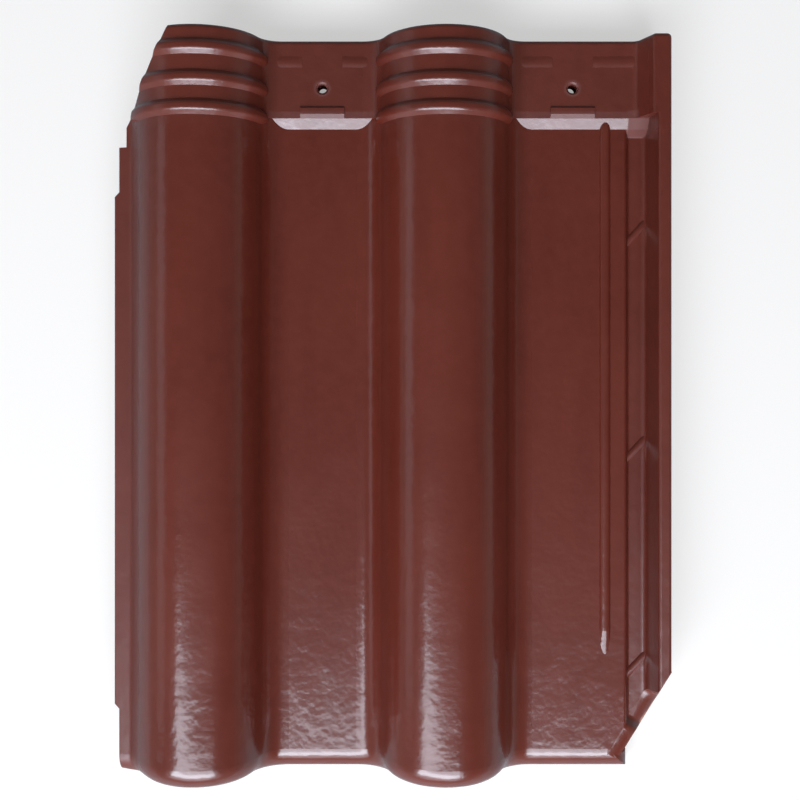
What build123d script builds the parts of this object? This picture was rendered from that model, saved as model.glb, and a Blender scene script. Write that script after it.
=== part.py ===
from build123d import *
import math
import os

# A fired clay roof tile with two rolls, made in one piece. It lies on its nibs and its front hem.
# X runs across the tile with the lock on the right, Y runs up the roof to the head, and Z is up.
# The origin is under the middle of the tile, on the surface that it lies on. Sizes are in millimetres.

# Overall sizes
tile_length = 400.0
tile_width = 300.0
wall = 9.0
under_depth = 10.0      # depth of the hem and of the nibs below the underside of the pans

# The two rolls
roll_pitch = 133.3      # half of the width that one tile covers
roll_inset = 45.9       # left edge of the tile to the crest of the left roll
roll_radius = 35.5
roll_height = 34.5      # crest above the pans
foot_radius = 15.5      # hollow curve between a roll and a pan
outer_flank = 55.0      # slope of the straight outer flank of the left roll, in degrees

# The cover flange along the left edge, which lies on the next tile
lip_width = 2.6         # ledge at the foot of the outer flank where there is no flange
flange_clear = 3.0      # underside of the flange above the pans
flange_edge = 3.5       # thickness at the outer edge
flange_root = 6.0       # thickness at the roll
flange_root_radius = 3.0
flange_edge_radius = 1.0
flange_start = 59.5     # head end of the tile to the start of the flange
flange_nip = 2.6        # how much narrower the flange is at its two ends
flange_head_nip = 24.0
flange_tail_nip = 36.0

# The side lock along the right edge: a land, a water channel and an upstand
lock_width = 21.1       # right edge of the tile to the edge of the land
channel_depth = 4.0
channel_draft = 2.0     # run of the slope from the land down to the channel
land_radius = 2.0
channel_floor = 8.5     # thickness below the channel
upstand_height = 18.0   # above the pans
upstand_top = 7.0
upstand_draft = 2.5
upstand_head_draft = 6.5
upstand_radius = 1.8
upstand_foot_radius = 3.0
channel_radius = 1.2

# The weather bar, a low bar on the pan beside the land
bar_offset = 11.4       # edge of the land to the middle of the bar
bar_width = 6.0
bar_height = 1.8
bar_end = 77.0          # front end of the tile to the end of the full bar
bar_runout = 13.0
bar_flare = 1.4         # how much the radius of the bar grows over its run-out

# The baffles, low bars slanting across the channel
baffle_pitch = 119.0
baffle_count = 3
baffle_first = 58.0     # front end of the tile to the first baffle
baffle_angle = 47.0
baffle_width = 4.2
baffle_height = 1.1

# The head lock: a raised plateau across the pans, and three ribs over each roll
plateau_length = 42.6
plateau_height = 2.8
plateau_slope = 5.5
plateau_lead = 5.0      # how far the plateau runs past the edge of the land
head_foot_radius = 12.0
rib_centres = (11.8, 28.0, 43.1)    # each from the head end of the tile
rib_base = 8.4
rib_crown = 3.2
rib_height = 2.6
rib_floor = 0.4         # the roll stands out this much between the ribs
rib_crown_radius = 2.6
pan_rib_width = 6.0
pan_rib_height = 0.4
pan_rib_gap = 22.0      # break in the low rib at each nail hole
pad_width = 24.0
pad_depth = 6.6
pad_height = 1.1

# The nail holes
nail_hole = 5.0
nail_sink = 7.0
nail_sink_depth = 0.9
nail_from_head = 26.2
nail_from_land = 29.6   # edge of the land to the right nail hole; the left one is midway between the rolls

# Corners cut away where four tiles meet
head_cut_width = 27.3
head_cut_length = 49.0
front_cut_width = 19.1
front_cut_length = 30.7
front_cut_end = 8.7     # straight end of the pan between the front cut and the front
front_cut_round = 11.0  # radius of the rounding along the front cut
front_cut_reach = 10.5  # how far the top of the upstand stands back from the cut
front_cut_foot = 7.0    # height at which the sloping end of the lock meets the cut

# Edges, hem and nibs
front_radius = 12.0
head_radius = 2.5
hem_length = 14.0
roll_hem = 7.0          # extra thickness of the hem inside the rolls
nib_width = 30.0
nib_depth = 12.0
nib_from_head = 5.0
nib_draft = 1.5
nib_radius = 1.5

# Places worked out from the sizes
left = -tile_width / 2
right = tile_width / 2
head = tile_length / 2
tail = -tile_length / 2
pan_z = wall + under_depth
roll_x = (left + roll_inset, left + roll_inset + roll_pitch)
roll_axis_z = pan_z + roll_height - roll_radius
flange_z = pan_z + flange_clear
flank_top = (
    roll_x[0] - roll_radius * math.sin(math.radians(outer_flank)),
    roll_axis_z + roll_radius * math.cos(math.radians(outer_flank)),
)
flank_foot = (
    flank_top[0] - (flank_top[1] - flange_z - flange_root) / math.tan(math.radians(outer_flank)),
    flange_z + flange_root,
)
lip_x = flank_foot[0] - lip_width
land_x = right - lock_width
side_x = right - front_cut_width
lock_x = side_x - front_radius
channel_width = lock_width - channel_draft - upstand_draft - upstand_top
channel_z = pan_z - channel_depth
upstand_z = pan_z + upstand_height
plateau_y = head - plateau_length
plateau_z = pan_z + plateau_height
nail_xs = ((roll_x[0] + roll_x[1]) / 2, land_x - nail_from_land)
nail_y = head - nail_from_head
far = 60.0              # how far shapes that cut or are cut run past the tile


def span(x_from, x_to, z_from, z_to):
    """Rectangle of the cross-section between two widths and two heights."""
    return Pos((x_from + x_to) / 2, (z_from + z_to) / 2) * Rectangle(x_to - x_from, z_to - z_from)


def along(section, y_from, y_to):
    """Cross-section carried along the tile from one place to another."""
    across = Plane((0, y_to, 0), x_dir=(1, 0, 0), z_dir=(0, -1, 0))
    return extrude(across * section, y_to - y_from)


def across(profile, x_from, x_to):
    """Lengthwise profile, drawn with Y and Z, carried across the tile."""
    lengthwise = Plane((x_from, 0, 0), x_dir=(0, 1, 0), z_dir=(1, 0, 0))
    return extrude(lengthwise * profile, x_to - x_from)


def wave(pan_level, radius):
    """Region under the rolls and pans, with its sides past the tile and the roll feet hollowed."""
    region = span(left - far, right + far, -far, pan_level)
    for x in roll_x:
        region += Pos(x, roll_axis_z) * Circle(roll_radius)
    feet = [v for v in region.vertices() if abs(v.Y - pan_level) < 0.01 and roll_x[0] < v.X < right]
    return fillet(feet, radius)


def rounded(region, x, z, radius):
    """The cross-section with its corner nearest to a place rounded."""
    corner = min(region.vertices(), key=lambda v: math.hypot(v.X - x, v.Y - z))
    return fillet(corner, radius)


def lock_section(foot_x, foot_z, draft):
    """The lock, from inside the edge of the land out to the upstand."""
    crown_x = foot_x + draft
    points = [
        (lock_x, 0),
        (lock_x, pan_z),
        (land_x, pan_z),
        (land_x + channel_draft, foot_z),
        (foot_x, foot_z),
        (crown_x, upstand_z),
        (right, upstand_z),
        (right, 0),
    ]
    section = make_face(Polyline(*points, close=True))
    section = rounded(section, foot_x, foot_z, upstand_foot_radius)
    section = rounded(section, crown_x, upstand_z, upstand_radius)
    return rounded(section, right, upstand_z, upstand_radius)


def flange_shape():
    """The flange and the straight outer flank of the left roll above it."""
    edge_z = flange_z + flange_edge
    inner_x = roll_x[0] - roll_radius / 2
    section = make_face(Polyline(
        (left, 0), (left, edge_z), flank_foot, flank_top, (inner_x, flank_top[1]), (inner_x, 0), close=True
    ))
    return rounded(section, *flank_foot, flange_root_radius)


def body_section():
    """Rolls, pans and flange, down to what the tile lies on."""
    return (wave(pan_z, foot_radius) & span(lip_x, side_x, 0, 2 * far)) + flange_shape()


def front_edges(part, x_limit):
    """Edges of the top surface at the front end, and of the pan's short straight side."""
    front = [e for e in part.edges() if e.bounding_box().max.Y < tail + 0.01]
    side = [e for e in part.edges() if e.bounding_box().min.X > x_limit - 0.01]
    return [e for e in front + side if e.bounding_box().min.Z > pan_z - 0.01]


def plan_outline():
    """The tile seen from above, with its two cut corners and the ends of the flange."""
    flange_y = head - flange_start
    return make_face(Polyline(
        (left + flange_nip, tail),
        (left + flange_nip, tail + flange_tail_nip),
        (left, tail + flange_tail_nip + flange_nip),
        (left, flange_y - flange_head_nip - flange_nip),
        (left + flange_nip, flange_y - flange_head_nip),
        (left + flange_nip, flange_y),
        (lip_x, flange_y),
        (lip_x, head - head_cut_length),
        (lip_x + head_cut_width, head),
        (right, head),
        (right, tail + front_cut_end + front_cut_length),
        (side_x, tail + front_cut_end),
        (side_x, tail),
        close=True,
    ))


def plateau():
    """The raised head of the pans, with its sloping front."""
    wedge = make_face(Polyline(
        (plateau_y - plateau_slope - pan_z, 0),
        (plateau_y - plateau_slope, pan_z),
        (plateau_y, plateau_z),
        (plateau_y, 2 * far),
        (head, 2 * far),
        (head, 0),
        close=True,
    ))
    region = wave(plateau_z, head_foot_radius) & span(lip_x, right, 0, 2 * far)
    raised = along(region, tail, head) & across(wedge, left, right)
    upstand = lock_section(land_x + plateau_lead, plateau_z, upstand_head_draft)
    return raised + along(upstand, plateau_y, head)


def roll_ribs():
    """The ribs of the head lock, as one ribbed ring round each roll that sinks in at both ends."""
    floor = roll_radius + rib_floor
    crown = roll_radius + rib_height
    sunk = roll_radius - rib_height
    run = (rib_base - rib_crown) / 2
    outline = []
    for distance in rib_centres:
        y = head - distance
        outline += [(y + rib_base / 2, floor), (y + rib_crown / 2, crown)]
        outline += [(y - rib_crown / 2, crown), (y - rib_base / 2, floor)]
    first_y = outline[0][0] + run
    last_y = outline[-1][0] - run
    outline[0] = (first_y, sunk)
    outline[-1] = (last_y, sunk)
    profile = make_face(Polyline(*outline, (last_y, sunk / 2), (first_y, sunk / 2), close=True))
    profile = fillet([v for v in profile.vertices() if abs(v.Y - crown) < 0.01], rib_crown_radius)
    rings = Part()
    for x in roll_x:
        lengthwise = Plane((x, 0, roll_axis_z), x_dir=(0, 1, 0), z_dir=(1, 0, 0))
        rings += revolve(lengthwise * profile, Axis((x, 0, roll_axis_z), (0, 1, 0)))
    return rings


def bead_radius(width, height):
    """Radius of a round bar that shows this width and height above a surface."""
    return (width ** 2 / 4 + height ** 2) / (2 * height)


def pan_ribs():
    """Low ribs across the plateau in line with the first rib, open at each nail hole."""
    radius = bead_radius(pan_rib_width, pan_rib_height)
    z = plateau_z + pan_rib_height - radius
    y = head - rib_centres[0]
    ends = (roll_x[1], land_x + plateau_lead)
    ribs = Part()
    for start, hole, end in zip(roll_x, nail_xs, ends):
        for x_from, x_to in ((start, hole - pan_rib_gap / 2), (hole + pan_rib_gap / 2, end)):
            ribs += across(Pos(y, z) * Circle(radius), x_from, x_to)
    return ribs


def pads():
    """Small raised pads at the front of the plateau, one below each nail hole."""
    lead = pad_height * plateau_slope / plateau_height
    profile = make_face(Polyline(
        (plateau_y - plateau_slope, pan_z),
        (plateau_y + lead, plateau_z + pad_height),
        (plateau_y + pad_depth - pad_height, plateau_z + pad_height),
        (plateau_y + pad_depth, plateau_z),
        (plateau_y + pad_depth, pan_z),
        close=True,
    ))
    result = Part()
    for x in nail_xs:
        result += across(profile, x - pad_width / 2, x + pad_width / 2)
    return result


def weather_bar():
    """Low round bar beside the land, sinking into the pan over its run-out."""
    radius = bead_radius(bar_width, bar_height)
    wide = radius + bar_flare
    x = land_x - bar_offset
    end_y = tail + bar_end
    level = pan_z + bar_height - radius
    bar = along(Pos(x, level) * Circle(radius), end_y, plateau_y)
    full = Plane((x, end_y, level), z_dir=(0, -1, 0)) * Circle(radius)
    sunk = Plane((x, end_y - bar_runout, pan_z - wide), z_dir=(0, -1, 0)) * Circle(wide)
    return bar + loft([full, sunk])


def baffles():
    """Low bars slanting across the channel, down towards the pan."""
    radius = bead_radius(baffle_width, baffle_height)
    inner_x = land_x + channel_draft
    outer_x = inner_x + channel_width
    z = channel_z + baffle_height - radius
    result = Part()
    for i in range(baffle_count):
        y = tail + baffle_first + i * baffle_pitch
        bar = Pos((inner_x + outer_x) / 2, y, z) * Rot(0, 0, baffle_angle) * Rot(0, 90, 0)
        result += bar * Cylinder(radius, 4 * channel_width)
    window = Pos((inner_x + outer_x) / 2, 0, channel_z)
    return result & window * Box(channel_width + 1.6 * channel_draft, tile_length, 2 * channel_depth)


def front_cut():
    """Plane of the cut front corner, facing outwards."""
    start = Vector(side_x, tail + front_cut_end, 0)
    cut = Vector(front_cut_width, front_cut_length, 0)
    return Plane(start, x_dir=cut, z_dir=cut.cross(Vector(0, 0, 1)))


def lock():
    """The side lock. Its end at the cut corner is rounded down and then slopes out steeply."""
    foot_x = land_x + channel_draft + channel_width
    section = lock_section(foot_x, channel_z, upstand_draft)
    section = rounded(section, land_x, pan_z, land_radius)
    section = rounded(section, land_x + channel_draft, channel_z, channel_radius)
    outer = front_cut()
    out = outer.z_dir
    inner = outer.offset(-front_cut_reach)
    body = split(along(section, tail - far, head), bisect_by=inner, keep=Keep.BOTTOM)
    end = body.faces().filter_by(lambda f: abs(inner.to_local_coords(f.center()).Z) < 0.01)[0]
    ends = [end]
    for degrees in (20, 40, 60):
        turn = math.radians(degrees)
        step = out * math.sin(turn) - Vector(0, 0, 1 - math.cos(turn))
        ends.append(end.translate(step * front_cut_round))
    body += loft(ends)
    top = outer.origin - out * front_cut_reach + Vector(0, 0, upstand_z)
    rise = Vector(0, 0, upstand_z - front_cut_foot) - out * front_cut_reach
    slope = Plane(top, x_dir=outer.x_dir, z_dir=outer.x_dir.cross(rise))
    return split(body, bisect_by=slope, keep=Keep.BOTTOM)


def underside():
    """The hollow below the tile: inside the rolls and under the pans, behind the front hem."""
    inside = offset(wave(pan_z, foot_radius), -wall, kind=Kind.INTERSECTION)
    inside &= span(left - far / 2, right + far / 2, -far / 2, 2 * far)
    under_lock = make_face(Polyline(
        (lock_x - wall, pan_z - wall),
        (lock_x, channel_z - channel_floor),
        (right + far, channel_z - channel_floor),
        (right + far, far),
        (lock_x - wall, far),
        close=True,
    ))
    hollow = along(inside - under_lock, tail + hem_length, head + far)
    hollow = split(hollow, bisect_by=front_cut().offset(-hem_length), keep=Keep.BOTTOM)
    for x in roll_x:
        radius = roll_radius - wall - roll_hem
        arch = Pos(x, roll_axis_z) * Circle(radius) + span(x - radius, x + radius, -far, roll_axis_z)
        hollow += along(arch, tail - far, tail + 2 * hem_length)
    return hollow + along(span(left - far, roll_x[0], -far, flange_z), tail - far, head + far)


def nibs():
    """Two nibs that hook over the batten, with an upright front face and a sloping back."""
    front_y = head - nib_from_head - nib_depth
    top_z = pan_z - wall / 2
    profile = make_face(Polyline(
        (front_y, top_z),
        (front_y, 0),
        (front_y + nib_depth - 2 * nib_draft, 0),
        (front_y + nib_depth, top_z),
        close=True,
    ))
    profile = fillet([v for v in profile.vertices() if abs(v.Y) < 0.01], nib_radius)
    result = Part()
    for x in nail_xs:
        result += across(profile, x - nib_width / 2, x + nib_width / 2)
    return result


def nail_holes():
    """Round holes through the plateau, each with a small sink at the top."""
    holes = Part()
    for x in nail_xs:
        holes += Pos(x, nail_y, pan_z) * Cylinder(nail_hole / 2, 2 * pan_z)
        sink = Cone(nail_hole / 2, nail_sink / 2, nail_sink_depth)
        holes += Pos(x, nail_y, plateau_z - nail_sink_depth / 2) * sink
    return holes


def head_edges(part):
    """Edges of the top surface at the head."""
    ends = [e.bounding_box() for e in part.edges()]
    return [e for e, box in zip(part.edges(), ends) if box.min.Y > head - 0.01 and box.min.Z > flange_clear]


def flange_edges(part):
    """Upper outer edges of the flange, behind the rounded front."""
    outside = left + flange_nip + 0.01
    front_y = tail + front_radius - 0.01
    edges = [e for e in part.edges() if e.bounding_box().max.X < outside]
    return [e for e in edges if e.bounding_box().min.Z > flange_z and e.bounding_box().min.Y > front_y]


def roof_tile():
    """The whole tile: its top surface first, then what is taken away and added below."""
    tile = along(body_section(), tail, head)
    tile = fillet(front_edges(tile, side_x), front_radius)
    tile -= Pos(right, 0, 0) * Box(2 * (right - lock_x), 2 * (head - front_cut_end), 4 * far)
    tile += lock() + plateau() + roll_ribs()
    tile &= extrude(plan_outline(), 2 * far)
    tile = fillet(head_edges(tile), head_radius)
    tile = fillet(flange_edges(tile), flange_edge_radius)
    tile += pan_ribs() + pads() + weather_bar() + baffles()
    tile -= underside()
    tile += nibs()
    return tile - nail_holes()


os.makedirs("parts", exist_ok=True)
export_step(roof_tile(), "parts/roof_tile.step")
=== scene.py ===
import math

import bpy
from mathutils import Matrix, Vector

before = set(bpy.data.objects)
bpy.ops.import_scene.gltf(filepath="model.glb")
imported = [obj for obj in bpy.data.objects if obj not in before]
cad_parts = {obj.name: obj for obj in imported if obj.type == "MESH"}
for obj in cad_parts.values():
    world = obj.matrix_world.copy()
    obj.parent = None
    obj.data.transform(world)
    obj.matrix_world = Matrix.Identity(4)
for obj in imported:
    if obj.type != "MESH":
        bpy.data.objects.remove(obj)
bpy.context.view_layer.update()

# All lengths are in metres.

# The glaze line: the tile is bare clay inside the rolls, under the lock and pans, and along the lowest edge
ROLL_X = (-0.1041, 0.0292)
ROLL_AXIS_Z = 0.018
MID_WALL_RADIUS = 0.031
MID_LOCK_Z = 0.0107
HEM_Y = -0.196
GLAZE_FOOT_Z = 0.0025
LINE_WOBBLE = 0.0012
UNDERSIDE_NORMAL_Z = -0.2   # a face whose normal points lower than this is underside
NORMAL_WOBBLE = 100.0       # how much that limit shifts for each metre of wobble

# Edges of the places where the glaze is duller
FLANGE_X = -0.1345
CHANNEL_X = 0.1295
HEAD_Y = 0.148
RIB_Z = 0.031
PLATEAU_Y = 0.15725
PLATEAU_Z = 0.025
PAD_FRONT_Y = 0.161
CHANNEL_END_X = 0.130
CHANNEL_END_Y = 0.1615
CHANNEL_END_Z = 0.024
NAIL_HOLES = ((-0.03745, 0.1738, 0.0218), (0.0993, 0.1738, 0.0218))
NAIL_HOLE_REACH = 0.0047

# Roughness of each place
GLAZE_ROUGHNESS = (0.16, 0.20)
FLANGE_ROUGHNESS = 0.38
CHANNEL_ROUGHNESS = 0.30
RIB_ROUGHNESS = 0.27
PLATEAU_ROUGHNESS = 0.36
PAD_FRONT_ROUGHNESS = 0.60
CHANNEL_END_ROUGHNESS = 0.85
NAIL_HOLE_ROUGHNESS = 0.62
CLAY_ROUGHNESS = 0.85

GLAZE_IOR = 1.66
COAT_WEIGHT = 0.30
COAT_ROUGHNESS = 0.36
COAT_IOR = 1.5

# Linear colours
GLAZE_DARK = (0.1135, 0.0182, 0.0094, 1)
GLAZE_LIGHT = (0.1285, 0.0218, 0.0117, 1)
GLAZE_STREAK = (0.098, 0.0138, 0.0068, 1)
GLAZE_MOTTLE = (0.147, 0.0285, 0.0166, 1)
CLAY_DARK = (0.36, 0.150, 0.086, 1)
CLAY_LIGHT = (0.42, 0.190, 0.115, 1)
CLAY_GRAIN = (0.25, 0.095, 0.055, 1)
WHITE = (1, 1, 1, 1)

STREAK_SQUEEZE = (1.0, 0.12, 1.0)   # draws the streaks out along the tile

# Heights of the relief in the bump
SWELL_HEIGHT = 0.00026
PEEL_HEIGHT = 0.00012
CLAY_HEIGHT = 0.00018

# The camera stands straight above the tile, as in the photograph
CAMERA_PLACE = (0.0034, 0.0221, 0.6312)
CAMERA_LENS = 50.2
CAMERA_SHIFT = (0.00375, -0.0425)
CAMERA_NEAR = 0.01

FLOOR_SIDE = 12.0
FLOOR_Z = -0.0001
FLOOR_SEEN = (0.90, 0.85, 0.79, 1)      # colour that the camera sees
FLOOR_BOUNCE = (0.36, 0.36, 0.36, 1)    # what the floor gives back to the tile
FLOOR_WHITE = 0.55                      # how far the floor that the camera sees is drawn to plain white
PAINTED_SHADE_UNDER_TILE = (0.095, 0.155)             # half width and half length of the floor under the tile that isn't drawn to white, painted shade there
PAINTED_SHADE_FADE = 0.035                      # over this distance the painted shade fades and the floor gets as light as the rest

ROOM_LOW = 0.28         # light of the room at the horizon
ROOM_HIGH = 0.09        # and overhead
ROOM_SEEN = 0.95        # what the camera sees of it

# Each lamp: lean and turn in degrees, distance, slide to the right and down, width and height, radiance
LAMP_AIM = (0.0, -0.18, 0.03)
LAMP_COLOUR = (0.93, 1.0, 1.12)
LAMPS = {
    "front_lamp": (46.0, -10.0, 1.7, (-0.05, 0.04), (2.1, 0.60), 7.7),
    "upper_lamp": (46.0, -10.0, 1.7, (-0.05, -0.553), (2.1, 0.586), 3.8),
    "lower_lamp": (46.0, -10.0, 1.7, (-0.05, 0.60), (2.1, 0.52), 1.5),
    "left_lamp": (65.0, -90.0, 1.6, (-0.2, 0.0), (1.4, 0.40), 0.35),
}
POWER_OF_RADIANCE = 4.0     # watts for each square metre of a lamp and unit of its radiance


class Nodes:
    """Short way to lay out a shader's nodes."""

    def __init__(self, owner):
        owner.use_nodes = True
        self.tree = owner.node_tree
        self.tree.nodes.clear()

    def add(self, kind, inputs=None, **settings):
        node = self.tree.nodes.new(kind)
        for name, value in settings.items():
            setattr(node, name, value)
        for name, value in (inputs or {}).items():
            self.put(node.inputs[name], value)
        return node

    def put(self, socket, value):
        if isinstance(value, bpy.types.NodeSocket):
            self.tree.links.new(value, socket)
        else:
            socket.default_value = value

    def math(self, operation, *values):
        node = self.add("ShaderNodeMath", operation=operation)
        for socket, value in zip(node.inputs, values):
            self.put(socket, value)
        return node.outputs[0]

    def product(self, first, *others):
        for other in others:
            first = self.math("MULTIPLY", first, other)
        return first

    def coordinates(self, kind):
        return self.add("ShaderNodeTexCoord").outputs[kind]

    def axes(self, vector):
        return self.add("ShaderNodeSeparateXYZ", {"Vector": vector}).outputs

    def vector_math(self, operation, a, b):
        return self.add("ShaderNodeVectorMath", {0: a, 1: b}, operation=operation)

    def camera_ray(self):
        return self.add("ShaderNodeLightPath").outputs["Is Camera Ray"]

    def mix(self, factor, a, b):
        """Mix of two colours."""
        return self.add("ShaderNodeMix", {"Factor": factor, 6: a, 7: b}, data_type="RGBA").outputs[2]

    def blend(self, factor, a, b):
        """Mix of two numbers."""
        return self.add("ShaderNodeMix", {"Factor": factor, 2: a, 3: b}, data_type="FLOAT").outputs[0]

    def blend_vectors(self, factor, a, b):
        return self.add("ShaderNodeMix", {"Factor": factor, 4: a, 5: b}, data_type="VECTOR").outputs[1]

    def noise(self, place, per_metre, detail=2.0, roughness=0.5):
        inputs = {"Vector": place, "Scale": per_metre, "Detail": detail, "Roughness": roughness}
        return self.add("ShaderNodeTexNoise", inputs).outputs[0]

    def ramp(self, value, low, high, to_low=0.0, to_high=1.0):
        inputs = {"Value": value, "From Min": low, "From Max": high, "To Min": to_low, "To Max": to_high}
        return self.add("ShaderNodeMapRange", inputs, interpolation_type="SMOOTHSTEP").outputs[0]

    def above(self, value, edge, soft=0.001):
        """1 above an edge and 0 below, changing from this far before it to this far past it."""
        return self.ramp(value, edge - soft, edge + soft)

    def below(self, value, edge, soft=0.001):
        """1 below an edge and 0 above."""
        return self.ramp(value, edge - soft, edge + soft, 1.0, 0.0)


def bare_clay_mask(n, place):
    """1 where the tile is bare clay, with an uneven edge."""
    x, y, z = n.axes(place)
    wobble = n.ramp(n.noise(place, 90.0), 0.3, 0.7, -LINE_WOBBLE, LINE_WOBBLE)
    uneven_z = n.math("ADD", z, wobble)

    bare = n.math("LESS_THAN", uneven_z, MID_LOCK_Z)
    over_axis = n.math("MAXIMUM", n.math("SUBTRACT", z, ROLL_AXIS_Z), 0.0)
    for roll in ROLL_X:
        aside = n.math("SUBTRACT", x, roll)
        away = n.math("SQRT", n.math("ADD", n.product(aside, aside), n.product(over_axis, over_axis)))
        in_roll = n.math("LESS_THAN", n.math("ADD", away, wobble), MID_WALL_RADIUS)
        bare = n.math("MAXIMUM", bare, in_roll)

    normal_z = n.axes(n.coordinates("Normal"))[2]
    uneven_normal = n.math("ADD", normal_z, n.product(wobble, NORMAL_WOBBLE))
    bare = n.math("MAXIMUM", bare, n.math("LESS_THAN", uneven_normal, UNDERSIDE_NORMAL_Z))

    behind_front = n.math("GREATER_THAN", n.math("ADD", y, wobble), HEM_Y)
    lowest = n.math("LESS_THAN", uneven_z, GLAZE_FOOT_Z)
    return n.math("MAXIMUM", n.product(bare, behind_front), lowest)


def glaze_colour(n, place):
    """Brown with slow clouds, streaks along the tile and a fine mottle."""
    clouds = n.ramp(n.noise(place, 14.0, 3.0), 0.35, 0.65)
    colour = n.mix(clouds, GLAZE_DARK, GLAZE_LIGHT)
    drawn_out = n.vector_math("MULTIPLY", place, STREAK_SQUEEZE).outputs[0]
    streaks = n.ramp(n.noise(drawn_out, 60.0), 0.45, 0.72, 0.0, 0.45)
    colour = n.mix(streaks, colour, GLAZE_STREAK)
    mottle = n.ramp(n.noise(place, 160.0, 3.0), 0.3, 0.75, 0.0, 0.35)
    return n.mix(mottle, colour, GLAZE_MOTTLE)


def clay_colour(n, place, grain):
    """Fired clay with paler patches and a dark grain."""
    patches = n.ramp(n.noise(place, 30.0), 0.3, 0.7)
    colour = n.mix(patches, CLAY_DARK, CLAY_LIGHT)
    return n.mix(n.ramp(grain, 0.45, 0.8, 0.0, 0.5), colour, CLAY_GRAIN)


def glaze_roughness(n, place):
    """Glossy, and duller on the flange, in the channel, on the ribs and plateaus and at the nail holes."""
    x, y, z = n.axes(place)
    at_head = n.above(y, HEAD_Y)
    plateau = n.product(n.above(y, PLATEAU_Y, 0.00025), n.below(z, PLATEAU_Z))
    on_plateau = n.blend(n.above(y, PAD_FRONT_Y, 0.0005), PAD_FRONT_ROUGHNESS, PLATEAU_ROUGHNESS)
    channel_end = n.product(at_head, n.above(x, CHANNEL_END_X, 0.0005), n.below(y, CHANNEL_END_Y, 0.0005),
                            n.below(z, CHANNEL_END_Z, 0.0005))
    places = [
        (n.below(x, FLANGE_X), FLANGE_ROUGHNESS),
        (n.above(x, CHANNEL_X), CHANNEL_ROUGHNESS),
        (n.product(at_head, n.above(z, RIB_Z, 0.003)), RIB_ROUGHNESS),
        (plateau, on_plateau),
        (channel_end, CHANNEL_END_ROUGHNESS),
    ]
    for hole in NAIL_HOLES:
        away = n.vector_math("DISTANCE", place, hole).outputs[1]
        places.append((n.below(away, NAIL_HOLE_REACH, 0.0005), NAIL_HOLE_ROUGHNESS))

    roughness = n.ramp(n.noise(place, 25.0), 0.3, 0.7, *GLAZE_ROUGHNESS)
    for mask, value in places:
        roughness = n.blend(mask, roughness, value)
    return roughness


def glazed_clay():
    """Brown glaze with a slight orange peel over a fired clay body that is bare underneath."""
    material = bpy.data.materials.new("brown_glaze")
    n = Nodes(material)
    place = n.coordinates("Object")
    bare = bare_clay_mask(n, place)
    grain = n.noise(place, 700.0, 4.0)

    swell = n.add("ShaderNodeBump", {"Height": n.noise(place, 75.0, 1.0), "Distance": SWELL_HEIGHT})
    peel = n.add("ShaderNodeBump", {
        "Height": n.noise(place, 300.0, 1.2, 0.40),
        "Distance": PEEL_HEIGHT,
        "Normal": swell.outputs[0],
    })
    rough_clay = n.add("ShaderNodeBump", {"Height": grain, "Distance": CLAY_HEIGHT})

    shader = n.add("ShaderNodeBsdfPrincipled", {
        "Base Color": n.mix(bare, glaze_colour(n, place), clay_colour(n, place, grain)),
        "Roughness": n.blend(bare, glaze_roughness(n, place), CLAY_ROUGHNESS),
        "IOR": GLAZE_IOR,
        "Coat Weight": COAT_WEIGHT,
        "Coat Roughness": COAT_ROUGHNESS,
        "Coat IOR": COAT_IOR,
        "Normal": n.blend_vectors(bare, peel.outputs[0], rough_clay.outputs[0]),
    })
    n.add("ShaderNodeOutputMaterial", {"Surface": shader.outputs[0]})
    return material


def floor():
    """Plain pale floor that the camera sees nearly white, with the tile's shadow on it and painted shade
    under the tile, where the white glow is held back.
    """
    bpy.ops.mesh.primitive_plane_add(size=FLOOR_SIDE, location=(0, 0, FLOOR_Z))
    plane = bpy.context.object
    plane.name = "floor"
    material = bpy.data.materials.new("pale_floor")
    n = Nodes(material)
    seen = n.camera_ray()
    # Painted shade: under the tile's footprint the floor gets no white glow, so it stays darker there,
    # fading out past the footprint's edge.
    sides = zip(n.axes(n.coordinates("Object")), PAINTED_SHADE_UNDER_TILE)
    beyond = [n.math("SUBTRACT", n.math("ABSOLUTE", axis), start) for axis, start in sides]
    outside_painted_shade = n.ramp(n.math("MAXIMUM", *beyond), 0.0, PAINTED_SHADE_FADE)
    lit = n.add("ShaderNodeBsdfDiffuse", {"Color": n.mix(seen, FLOOR_BOUNCE, FLOOR_SEEN)})
    white = n.add("ShaderNodeEmission", {"Color": WHITE, "Strength": 1.0})
    shader = n.add("ShaderNodeMixShader", {
        0: n.product(seen, FLOOR_WHITE, outside_painted_shade),
        1: lit.outputs[0],
        2: white.outputs[0],
    })
    n.add("ShaderNodeOutputMaterial", {"Surface": shader.outputs[0]})
    plane.data.materials.append(material)


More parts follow.
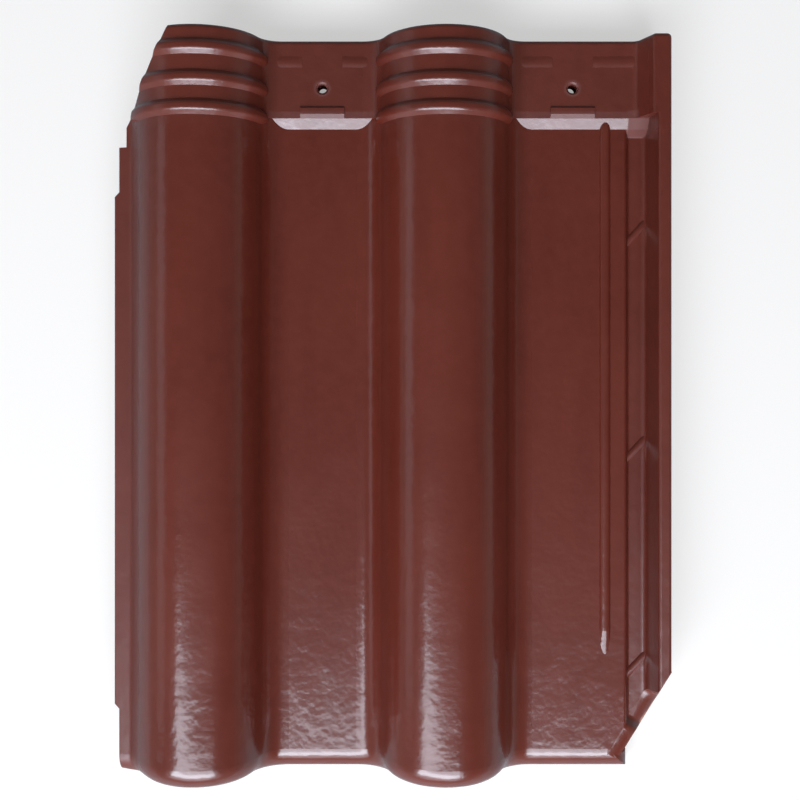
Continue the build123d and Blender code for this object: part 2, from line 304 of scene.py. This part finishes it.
def lamp(name, lean_deg, turn_deg, distance, slide, size, radiance):
    """Soft rectangular lamp that the camera doesn't see. It leans from straight above towards a side, where
    turn 0 is the front and 90 the right, and slides in its own plane: first to the right, then down."""
    lean, turn = math.radians(lean_deg), math.radians(turn_deg)
    way = Vector((math.sin(lean) * math.sin(turn), -math.sin(lean) * math.cos(turn), math.cos(lean)))
    right = Vector((math.cos(turn), math.sin(turn), 0))
    down = Vector((math.cos(lean) * math.sin(turn), -math.cos(lean) * math.cos(turn), -math.sin(lean)))
    data = bpy.data.lights.new(name, "AREA")
    data.shape = "RECTANGLE"
    data.size, data.size_y = size
    data.energy = POWER_OF_RADIANCE * radiance * size[0] * size[1]
    data.color = LAMP_COLOUR
    made = bpy.data.objects.new(name, data)
    made.location = Vector(LAMP_AIM) + way * distance + right * slide[0] + down * slide[1]
    made.rotation_euler = way.to_track_quat("Z", "Y").to_euler()
    made.visible_camera = False
    bpy.context.collection.objects.link(made)


def surroundings():
    """Pale room, darker overhead."""
    world = bpy.data.worlds.new("room")
    n = Nodes(world)
    height = n.axes(n.coordinates("Generated"))[2]
    level = n.blend(n.camera_ray(), n.ramp(height, 0.0, 0.5, ROOM_LOW, ROOM_HIGH), ROOM_SEEN)
    back = n.add("ShaderNodeBackground", {"Color": WHITE, "Strength": level})
    n.add("ShaderNodeOutputWorld", {"Surface": back.outputs[0]})
    bpy.context.scene.world = world


def camera():
    data = bpy.data.cameras.new("camera")
    data.lens = CAMERA_LENS
    data.shift_x, data.shift_y = CAMERA_SHIFT
    data.clip_start = CAMERA_NEAR
    made = bpy.data.objects.new("camera", data)
    made.location = CAMERA_PLACE
    bpy.context.collection.objects.link(made)
    bpy.context.scene.camera = made


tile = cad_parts["roof_tile"]
glaze = glazed_clay()
for tile_slot in tile.material_slots:
    tile_slot.material = glaze

floor()
surroundings()
camera()
for lamp_name, lamp_values in LAMPS.items():
    lamp(lamp_name, *lamp_values)
bpy.context.scene.view_settings.view_transform = "Standard"
